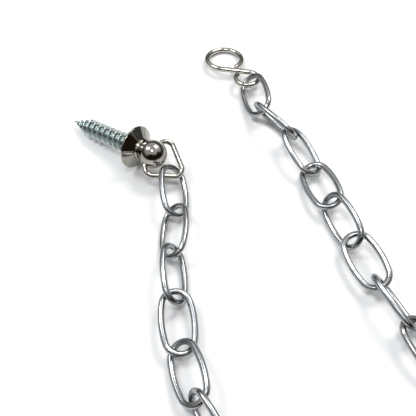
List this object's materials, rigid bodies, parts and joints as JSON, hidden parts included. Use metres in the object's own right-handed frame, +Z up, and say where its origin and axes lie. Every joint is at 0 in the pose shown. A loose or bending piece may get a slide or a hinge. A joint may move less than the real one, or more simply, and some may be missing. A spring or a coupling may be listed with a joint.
{
  "type": "door chain guard",
  "caption": "Door chain guard: a wood screw with a cross-drilled ball head and wire shackle, a chain of oval wire links, and a figure-of-eight ring that hooks over a door stud.",
  "frame": {"origin": "middle of the footprint of the whole guard as it lies, on the surface it lies on", "axes": "+Z up from that surface. +Y from the bend of the chain towards its two ends. +X from the screw end towards the hook ring end."},
  "size_m": [0.1134, 0.1738, 0.0135],
  "materials": {
    "zinc_plate": "bright zinc plate with a faint blue-green tint",
    "nickel_plate": "polished nickel plate, warm",
    "link_steel": "bright drawn steel wire, slightly dull"
  },
  "bodies": {
    "screw_end": {"wood_screw": "zinc_plate", "rose": "nickel_plate", "ball_stud": "nickel_plate"},
    "shackle": {"shackle": "nickel_plate"},
    "link_01": {"link_01": "link_steel"},
    "link_02": {"link_02": "link_steel"},
    "link_03": {"link_03": "link_steel"},
    "link_04": {"link_04": "link_steel"},
    "link_05": {"link_05": "link_steel"},
    "link_06": {"link_06": "link_steel"},
    "link_07": {"link_07": "link_steel"},
    "link_08": {"link_08": "link_steel"},
    "link_09": {"link_09": "link_steel"},
    "link_10": {"link_10": "link_steel"},
    "link_11": {"link_11": "link_steel"},
    "link_12": {"link_12": "link_steel"},
    "link_13": {"link_13": "link_steel"},
    "link_14": {"link_14": "link_steel"},
    "link_15": {"link_15": "link_steel"},
    "link_16": {"link_16": "link_steel"},
    "link_17": {"link_17": "link_steel"},
    "link_18": {"link_18": "link_steel"},
    "link_19": {"link_19": "link_steel"},
    "link_20": {"link_20": "link_steel"},
    "link_21": {"link_21": "link_steel"},
    "link_22": {"link_22": "link_steel"},
    "hook_ring": {"hook_ring": "nickel_plate"}
  },
  "joints": [
    {"name": "shackle_swing", "type": "hinge", "parent": "screw_end", "child": "shackle", "pos_m": [-0.02926, 0.03198, 0.00816], "axis": [-0.5285, -0.824, -0.2041], "range_deg": [-70, 140]},
    {"name": "link_01_swing", "type": "hinge", "parent": "shackle", "child": "link_01", "pos_m": [-0.02345, 0.02798, 0.00462], "axis": [0, 0, 1], "range_deg": [-9, 15]},
    {"name": "link_02_swing", "type": "hinge", "parent": "link_01", "child": "link_02", "pos_m": [-0.02223, 0.01635, 0.00401], "axis": [0, 0, -1], "range_deg": [-39, 36]},
    {"name": "link_03_swing", "type": "hinge", "parent": "link_02", "child": "link_03", "pos_m": [-0.02248, 0.00007, 0.00449], "axis": [0, 0, 1], "range_deg": [-45, 45]},
    {"name": "link_04_swing", "type": "hinge", "parent": "link_03", "child": "link_04", "pos_m": [-0.02098, -0.01618, 0.00431], "axis": [0, 0, -1], "range_deg": [-27, 45]},
    {"name": "link_05_swing", "type": "hinge", "parent": "link_04", "child": "link_05", "pos_m": [-0.01983, -0.02548, 0.00357], "axis": [0, 0, 1], "range_deg": [-45, 2]},
    {"name": "link_06_swing", "type": "hinge", "parent": "link_05", "child": "link_06", "pos_m": [-0.01546, -0.04117, 0.00531], "axis": [0, 0, -1], "range_deg": [-9, 21]},
    {"name": "link_07_swing", "type": "hinge", "parent": "link_06", "child": "link_07", "pos_m": [-0.00846, -0.05329, 0.00531], "axis": [0, 0, 1], "range_deg": [-27, 18]},
    {"name": "link_08_swing", "type": "hinge", "parent": "link_07", "child": "link_08", "pos_m": [-0.00104, -0.06516, 0.00291], "axis": [0, 0, -1], "range_deg": [-15, 30]},
    {"name": "link_09_swing", "type": "hinge", "parent": "link_08", "child": "link_09", "pos_m": [0.00833, -0.07557, 0.00291], "axis": [0, 0, 1], "range_deg": [-45, 6]},
    {"name": "link_10_swing", "type": "hinge", "parent": "link_09", "child": "link_10", "pos_m": [0.02069, -0.08214, 0.00291], "axis": [0, 0, -1], "range_deg": [-4, 45]},
    {"name": "link_11_swing", "type": "hinge", "parent": "link_10", "child": "link_11", "pos_m": [0.03469, -0.08189, 0.00298], "axis": [0, 0, 1], "range_deg": [-45, 2]},
    {"name": "link_12_swing", "type": "hinge", "parent": "link_11", "child": "link_12", "pos_m": [0.04629, -0.07407, 0.00298], "axis": [0, 0, -1], "range_deg": [-2, 45]},
    {"name": "link_13_swing", "type": "hinge", "parent": "link_12", "child": "link_13", "pos_m": [0.05199, -0.06128, 0.00291], "axis": [0, 0, 1], "range_deg": [-45, 6]},
    {"name": "link_14_swing", "type": "hinge", "parent": "link_13", "child": "link_14", "pos_m": [0.0515, -0.04728, 0.00305], "axis": [0, 0, -1], "range_deg": [-12, 45]},
    {"name": "link_15_swing", "type": "hinge", "parent": "link_14", "child": "link_15", "pos_m": [0.04577, -0.03202, 0.00335], "axis": [0, 0, 1], "range_deg": [-18, 12]},
    {"name": "link_16_swing", "type": "hinge", "parent": "link_15", "child": "link_16", "pos_m": [0.04111, -0.02395, 0.00452], "axis": [0, 0, -1], "range_deg": [-15, 24]},
    {"name": "link_17_swing", "type": "hinge", "parent": "link_16", "child": "link_17", "pos_m": [0.03276, -0.0073, 0.00481], "axis": [0, 0, 1], "range_deg": [-45, 21]},
    {"name": "link_18_swing", "type": "hinge", "parent": "link_17", "child": "link_18", "pos_m": [0.02939, 0.00147, 0.00481], "axis": [0, 0, -1], "range_deg": [-27, 30]},
    {"name": "link_19_swing", "type": "hinge", "parent": "link_18", "child": "link_19", "pos_m": [0.02287, 0.01893, 0.00451], "axis": [0, 0, 1], "range_deg": [-45, 15]},
    {"name": "link_20_swing", "type": "hinge", "parent": "link_19", "child": "link_20", "pos_m": [0.02014, 0.02784, 0.00329], "axis": [0, 0, -1], "range_deg": [-2, 33]},
    {"name": "link_21_swing", "type": "hinge", "parent": "link_20", "child": "link_21", "pos_m": [0.01472, 0.04072, 0.00475], "axis": [0, 0, 1], "range_deg": [-2, 45]},
    {"name": "link_22_swing", "type": "hinge", "parent": "link_21", "child": "link_22", "pos_m": [0.00458, 0.05344, 0.00511], "axis": [0, 0, -1], "range_deg": [-45, 33]},
    {"name": "hook_ring_swing", "type": "hinge", "parent": "link_22", "child": "hook_ring", "pos_m": [0.00084, 0.06876, 0.00365], "axis": [0, 0, 1], "range_deg": [-45, 12]}
  ]
}
